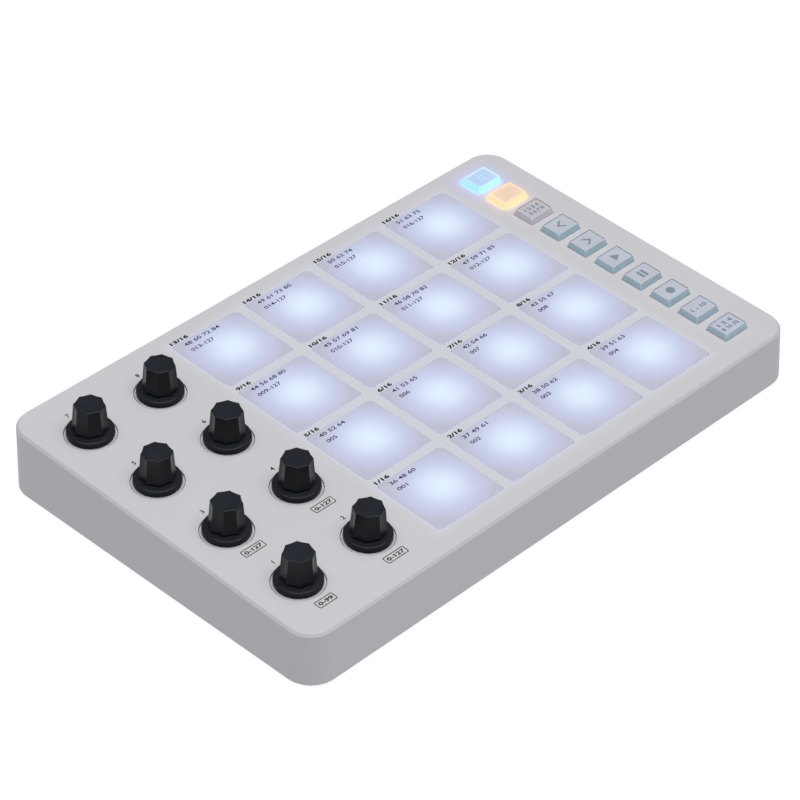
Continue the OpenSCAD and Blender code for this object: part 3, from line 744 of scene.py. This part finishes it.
def makeBackOpenings():
    gap = 2 * backWall["gap"]
    usbLow, usbHigh = panelBox("usb_socket")
    usb = backOpening("usbOpening", "usb_socket", usbHigh.x - usbLow.x + gap, usbHigh.z - usbLow.z + gap,
                      backWall["usbCorner"])
    collar = 2 * backWall["jackCollar"] + gap
    jack = backOpening("jackOpening", "midi_jack", collar, collar, collar / 2 - backWall["jackFlat"])
    travel = findJoint("power_switch_slide")["range_m"][1]
    room = 2 * backWall["switchRoom"]
    switch = backOpening("switchOpening", "power_switch_slider", backWall["nubWide"] + travel + room,
                         backWall["nubTall"] + room, backWall["switchCorner"])
    settle(switch, Matrix.Translation((travel / 2, 0, 0)))
    return [usb, jack, switch]


def makeShell():
    body = makeShellBody()
    padTool = blockOpening("padOpening", padWidth + 2 * pad["holeGap"], padDepth + 2 * pad["holeGap"],
                           pad["corner"] + pad["holeGap"])
    keyTool = blockOpening("keyOpening", keyWidth + 2 * key["holeGap"], keyDepth + 2 * key["holeGap"],
                           key["holeCorner"] + key["holeGap"])
    knobTool = recessOpening("knobOpening")
    tools = makeBackOpenings()
    for tool, stem, count in ((padTool, "pad", padCount), (keyTool, "key", keyCount),
                              (knobTool, "knob", knobCount)):
        for n in range(1, count + 1):
            place = panelPlace @ Matrix.Translation(panelMiddle(f"{stem}_{n}"))
            tools.append(settle(copyOf(tool, f"{stem}Opening_{n}"), place))
        bpy.data.objects.remove(tool)
    cutAway(body, joinAll(tools, "openings"))
    smooth(body, shell["smoothAngle"])
    dress(body, "housing", "shell_white", shellWhite)
    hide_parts("top_shell")


# Painted light: the glow that leaks from the pads and the first two keys onto the panel, painted into the
# panel's colour as emission
paintedSpills = {  # each painted glow fades from the box round its nodes, less the inset: how far out, and the painted glow there
    "pads": {
        "nodes": ["pad_1", "pad_16"],
        "inset": 0,
        "fade": [(0, (0.035, 0.05, 0.08)), (1.2 * mm, (0.015, 0.02, 0.035)), (4 * mm, (0, 0, 0))],
    },
    "cyanKey": {
        "nodes": ["key_1"],
        "inset": 2.2 * mm,
        "fade": [(1.5 * mm, (0, 0.3, 0.42)), (2.1 * mm, (0, 0.18, 0.35)), (2.7 * mm, (0, 0.06, 0.24)),
                 (3.5 * mm, (0, 0.005, 0.17)), (4.5 * mm, (0, 0, 0.13)), (5.5 * mm, (0, 0, 0.08)),
                 (7.5 * mm, (0, 0, 0.025)), (9.5 * mm, (0, 0, 0))],
    },
    "amberKey": {
        "nodes": ["key_2"],
        "inset": 2.2 * mm,
        "fade": [(1.5 * mm, (0.4, 0.27, 0)), (2.1 * mm, (0.3, 0.16, 0)), (2.7 * mm, (0.17, 0.075, 0)),
                 (3.5 * mm, (0.075, 0.01, 0)), (4.5 * mm, (0.04, 0, 0)), (5.5 * mm, (0.018, 0, 0)),
                 (7 * mm, (0, 0, 0))],
    },
}


def addSpill(nodes, links, paintedSpill):
    low, high = extent([corner for node in paintedSpill["nodes"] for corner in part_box(node)])
    low.z = high.z = 0
    inset = Vector((paintedSpill["inset"], paintedSpill["inset"], 0))  # rounds the corners of the painted light
    low, high = low + inset, high - inset
    reach = paintedSpill["fade"][-1][0]
    source = nodes.new("ShaderNodeTexCoord").outputs["Object"]
    centred = nodes.new("ShaderNodeMapping")
    centred.inputs["Location"].default_value = -(low + high) / 2 / reach
    centred.inputs["Scale"].default_value = (1 / reach, 1 / reach, 0)
    links.new(source, centred.inputs["Vector"])
    source = centred.outputs["Vector"]
    steps = (("ABSOLUTE", None), ("SUBTRACT", (high - low) / 2 / reach), ("MAXIMUM", (0, 0, 0)))
    for operation, amount in steps:
        step = nodes.new("ShaderNodeVectorMath")
        step.operation = operation
        links.new(source, step.inputs[0])
        if amount is not None:
            step.inputs[1].default_value = amount
        source = step.outputs["Vector"]
    away = nodes.new("ShaderNodeVectorMath")
    away.operation = "LENGTH"
    links.new(source, away.inputs[0])
    stops = [(far / reach, glow) for far, glow in paintedSpill["fade"]]
    return addRamp(nodes, links, away.outputs["Value"], stops)


def shellFinish():
    material = grainedFinish("shellWhite", shell["colour"], 0.5, satinGrain, specular=0.3, spread=0.01)
    nodes, links = material.node_tree.nodes, material.node_tree.links
    shader = nodes["Principled BSDF"]
    # the panel's colour, with the painted light of the pads and keys added as emission
    light, *others = [addSpill(nodes, links, paintedSpill) for paintedSpill in paintedSpills.values()]
    for other in others:
        both = nodes.new("ShaderNodeVectorMath")
        both.operation = "ADD"
        links.new(light, both.inputs[0])
        links.new(other, both.inputs[1])
        light = both.outputs["Vector"]
    links.new(light, shader.inputs["Emission Color"])
    shader.inputs["Emission Strength"].default_value = 1
    return material


shellWhite = shellFinish()
makeShell()
print("shell made")

padSilicone = padFinish()
padLeak = grainedFinish("padLeak", pad["colour"], pad["roughness"], fineGrain, specular=pad["specular"],
                        glow=pad["leak"])
padMaster = makePad()
for n in range(1, padCount + 1):
    piece = copyOf(padMaster, f"padBlock_{n}")
    settle(piece, panelPlace @ Matrix.Translation(panelMiddle(f"pad_{n}")))
    dress(piece, f"pad_{n}", "pad_silicone", padSilicone, padLeak)
    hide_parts(f"pad_{n}")
bpy.data.objects.remove(padMaster)
print("pads made")

keyLooks = {
    "cyan": {"slot": "key_cyan", "Side": (0.4, 0.8, 0.9), "SideGlow": (0.21, 0.35, 0.45),
             "Plate": (0.4, 0.42, 0.47), "PlateGlow": (0.03, 0.15, 0.33),
             "Step": (0.5, 0.7, 0.9), "StepGlow": (0.5, 0.62, 0.75)},
    "amber": {"slot": "key_amber", "Side": (0.8, 0.7, 0.42), "SideGlow": (0.47, 0.35, 0.2),
              "Plate": (0.45, 0.42, 0.4), "PlateGlow": (0.345, 0.16, 0.045),
              "Step": (0.9, 0.7, 0.5), "StepGlow": (0.6, 0.42, 0.22)},
    "grey": {"slot": "key_grey", "Side": (0.66, 0.635, 0.7), "Plate": (0.435, 0.415, 0.445),
             "Step": (0.42, 0.4, 0.43)},
    "blue": {"slot": "key_blue", "Side": (0.44, 0.57, 0.65), "Plate": (0.412, 0.438, 0.5),
             "Step": (0.37, 0.42, 0.47)},
}
lookOfKey = {1: "cyan", 2: "amber", 3: "grey"}  # the others are blue
keyMaster = makeKey()
keyMaterials = {name: keyFinishes(name, look) for name, look in keyLooks.items()}
for n in range(1, keyCount + 1):
    look = lookOfKey.get(n, "blue")
    piece = copyOf(keyMaster, f"keyCap_{n}")
    settle(piece, panelPlace @ Matrix.Translation(panelMiddle(f"key_{n}")))
    dress(piece, f"key_{n}", keyLooks[look]["slot"], *keyMaterials[look])
    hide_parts(f"key_{n}")
bpy.data.objects.remove(keyMaster)
print("keys made")

knobMaster = makeKnob()
for n in range(1, knobCount + 1):
    piece = copyOf(knobMaster, f"knobCap_{n}")
    turn = Matrix.Rotation(math.radians(knob["turns"][n - 1]), 4, "Z")
    settle(piece, panelPlace @ Matrix.Translation(panelMiddle(f"knob_{n}")) @ turn)
    dress(piece, f"knob_{n}", "knob_black", knobBlack, knobGloss)
    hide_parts(f"knob_{n}")
bpy.data.objects.remove(knobMaster)
print("knobs made")

# Printed marks: plain numbers and simple signs, each a thin layer of ink
ink = {
    "thick": 0.04 * mm,
    "sunk": 0.01 * mm,   # how far the layer lies in the surface
    "curveSteps": 3,
    "cornerSteps": 4,
    "discSides": 32,
    "weld": 0.001 * mm,  # points closer than this become one
}


def addWords(words, style, x, y, long=None):
    bpy.ops.object.select_all(action="DESELECT")
    bpy.ops.object.text_add()
    letters = bpy.context.object.data
    letters.body = words
    letters.resolution_u = ink["curveSteps"]
    letters.offset = style["weight"]
    letters.extrude = ink["thick"] / 2
    bpy.ops.object.convert(target="MESH")
    mark = bpy.context.object
    openMesh(mark)
    bpy.ops.mesh.select_all(action="SELECT")
    bpy.ops.mesh.remove_doubles(threshold=ink["weld"])
    bpy.ops.mesh.normals_make_consistent(inside=False)
    closeMesh()
    low, high = extent([v.co for v in mark.data.vertices])
    grow = style["tall"] / (high.y - low.y)
    wide = long / (high.x - low.x) if long else grow
    settle(mark, Matrix.Translation(-(low + high) / 2))
    settle(mark, Matrix.Diagonal((wide, grow, 1, 1)))
    return settle(mark, Matrix.Translation((x, y, ink["thick"] / 2)))


def addRow(words, style, left, y):
    long = len(words) * style["letter"]
    return addWords(words, style, left + long / 2, y, long)


def thicken():
    bpy.ops.mesh.select_all(action="SELECT")
    raiseFace(ink["thick"])
    bpy.ops.mesh.select_all(action="SELECT")
    bpy.ops.mesh.normals_make_consistent(inside=False)
    closeMesh()


def hollowOut(line):
    bpy.ops.mesh.select_all(action="SELECT")
    bpy.ops.mesh.inset(thickness=line)
    bpy.ops.mesh.delete(type="FACE")


def addBar(width, depth, x, y):
    return addBlock("bar", width, depth, 0, ink["thick"], x, y)


def addDot(radius, sides, turn=0):
    dot = addCylinder("dot", radius, 0, ink["thick"], sides)
    return settle(dot, Matrix.Rotation(math.radians(turn), 4, "Z"))


def addFrame(width, depth, corner, line, x, y):
    bpy.ops.object.select_all(action="DESELECT")
    bpy.ops.mesh.primitive_plane_add(size=1, calc_uvs=False)
    mark = settle(bpy.context.object, Matrix.Translation((x, y, 0)) @ Matrix.Diagonal((width, depth, 1, 1)))
    openMesh(mark)
    bpy.ops.mesh.select_all(action="SELECT")
    bpy.ops.mesh.bevel(offset=corner, segments=ink["cornerSteps"], affect="VERTICES")
    hollowOut(line)
    thicken()
    return mark


def addChevron(width, depth, line, point):
    bpy.ops.object.select_all(action="DESELECT")
    bpy.ops.mesh.primitive_grid_add(x_subdivisions=1, y_subdivisions=2, size=1, calc_uvs=False)
    mark = settle(bpy.context.object, Matrix.Diagonal((line, depth, 1, 1)))
    openMesh(mark)
    pick(mark, "VERT", lambda v: abs(v.co.y) < depth / 4)  # the middle of the stroke
    bpy.ops.transform.translate(value=(point * width, 0, 0))
    thicken()
    return settle(mark, Matrix.Translation((-point * width / 2, 0, 0)))


def printOn(marks, name, body, slot, material, height):
    mark = joinAll(marks, name)
    settle(mark, panelPlace @ Matrix.Translation((0, 0, height - ink["sunk"])))
    dress(mark, body, slot, material)


panelMarks = {
    "number": {"tall": 1.7 * mm, "weight": 0.02, "x": 0.3 * mm, "y": 11.1 * mm},
    "box": {"depth": 3.1 * mm, "corner": 0.5 * mm, "line": 0.28 * mm, "x": 0.1 * mm, "y": -11.45 * mm,
            "room": 0.85 * mm, "words": ["0-99", "0-127", "0-127", "0-127"], "letter": 1.35 * mm,
            "tall": 1.55 * mm, "weight": 0.03},
    "label": {"left": -13.15 * mm, "y": 14.9 * mm, "tall": 1.6 * mm, "letter": 1.45 * mm, "weight": 0.04},
}


def makePanelPrint():
    marks = []
    number, box, label = panelMarks["number"], panelMarks["box"], panelMarks["label"]
    for n in range(1, knobCount + 1):
        middle = panelMiddle(f"knob_{n}")
        marks.append(addWords(str(n), number, middle.x + number["x"], middle.y + number["y"]))
        if n <= len(box["words"]):
            words = box["words"][n - 1]
            x, y = middle.x + box["x"], middle.y + box["y"]
            long = len(words) * box["letter"]
            marks.append(addFrame(long + 2 * box["room"], box["depth"], box["corner"], box["line"], x, y))
            marks.append(addWords(words, box, x, y, long))
    for n in range(1, padCount + 1):
        middle = panelMiddle(f"pad_{n}")
        marks.append(addRow(f"{n}/{padCount}", label, middle.x + label["left"], middle.y + label["y"]))
    printOn(marks, "panelPrint", "housing", "jack_black", inkBlack, 0)


makePanelPrint()
print("panel print made")

padMarks = {
    "left": -10.1 * mm,
    "rows": [11.5 * mm, 8.1 * mm],
    "tall": 1.55 * mm,
    "letter": 1.33 * mm,
    "weight": 0.012,
    "start": 35,
    "octave": 12,
    "count": 3,                # numbers in a first row
    "longRows": range(9, 15),  # pads whose first row has one more
    "ranges": range(9, 17),    # pads whose second row is a range
    "rangeEnd": 127,
}


def makePadPrint(n):
    middle = panelMiddle(f"pad_{n}")
    count = padMarks["count"] + (1 if n in padMarks["longRows"] else 0)
    numbers = " ".join(str(padMarks["start"] + n + padMarks["octave"] * i) for i in range(count))
    span = f"{n:03d}"
    if n in padMarks["ranges"]:
        span += f"-{padMarks['rangeEnd']}"
    marks = [addRow(words, padMarks, middle.x + padMarks["left"], middle.y + y)
             for words, y in zip((numbers, span), padMarks["rows"])]
    printOn(marks, f"padPrint_{n}", f"pad_{n}", "jack_black", inkViolet, padHigh.z)


for n in range(1, padCount + 1):
    makePadPrint(n)
print("pad print made")

sign = {
    "square": 1.2 * mm,
    "step": 1.75 * mm,
    "bar": 0.5 * mm,
    "barStep": 1.3125 * mm,
    "long": 3.4 * mm,
    "line": 1.1 * mm,
    "point": 2.2 * mm,
    "triangle": 2.05 * mm,
    "disc": 1.58 * mm,
    "tall": 1.6 * mm,
    "rowStep": 2.4 * mm,
    "weight": 0.05,
}


def padSign():
    half = sign["step"] / 2
    return [addBar(sign["square"], sign["square"], x, y) for x in (-half, half) for y in (-half, half)]


def barSign():
    return [addBar(sign["long"], sign["bar"], 0, y * sign["barStep"]) for y in (-1, 0, 1)]


def arrowSign(point):
    return [addChevron(sign["point"], sign["long"], sign["line"], point)]


def pauseSign():
    return [addBar(sign["line"], sign["long"], x * sign["step"] / 2, 0) for x in (-1, 1)]


def numberSign(*rows):
    topY = sign["rowStep"] * (len(rows) - 1) / 2
    return [addWords(words, sign, 0, topY - i * sign["rowStep"], long)
            for i, (words, long) in enumerate(rows)]


keySigns = {  # a row of numbers has its length beside it
    1: padSign,
    2: barSign,
    3: lambda: numberSign(("1 2 3 4", 6.5 * mm), ("5 6 7 8", 6.5 * mm)),
    4: lambda: arrowSign(-1),
    5: lambda: arrowSign(1),
    6: lambda: [addDot(sign["triangle"], 3, turn=-90)],
    7: pauseSign,
    8: lambda: [addDot(sign["disc"], ink["discSides"])],
    9: lambda: numberSign(("1 - 10", 6.8 * mm)),
    10: lambda: numberSign(("1 2 4", 6.4 * mm), ("8 16 32", 7.6 * mm)),
}
inkPale = grainedFinish("inkPale", (0.4, 0.5, 0.6), 0.6, fineGrain, specular=0.2, glow=(0.02, 0.18, 0.35))
inkPeach = grainedFinish("inkPeach", (0.45, 0.4, 0.36), 0.6, fineGrain, specular=0.2,
                         glow=(0.32, 0.14, 0.03))
signInks = {1: inkPale, 2: inkPeach}  # the others are grey
for n in range(1, keyCount + 1):
    marks = keySigns[n]()
    for mark in marks:
        settle(mark, Matrix.Translation(panelMiddle(f"key_{n}")))
    printOn(marks, f"keySign_{n}", f"key_{n}", "key_grey", signInks.get(n, inkGrey),
            keyHigh.z - key["sunk"])
print("key signs made")

# Finishes of the parts that keep their own shape
nodeFinishes = {
    "bottom_cover": coverGrey, "main_board": boardGreen, "pad_frame": frameWhite,
    "key_frame": frameWhite, "sensor_film": filmAmber, "lamps": lampWhite,
    "key_contacts": contactGold, "encoder_bodies": brightMetal, "control_chips": chipBlack,
    "battery": batterySilver, "usb_socket": brightMetal, "midi_jack": jackBlack,
    "power_switch_body": jackBlack, "power_switch_slider": jackBlack, "cover_screws": screwSteel,
    "board_screws": screwSteel, "rubber_feet": footRubber,
}
for n in range(1, knobCount + 1):
    nodeFinishes[f"encoder_shaft_{n}"] = brightMetal
for node, material in nodeFinishes.items():
    if not frame["nodes"][node].material_slots:
        frame["nodes"][node].data.materials.append(material)
    for slot in frame["nodes"][node].material_slots:
        slot.material = material
print("remaining parts finished")
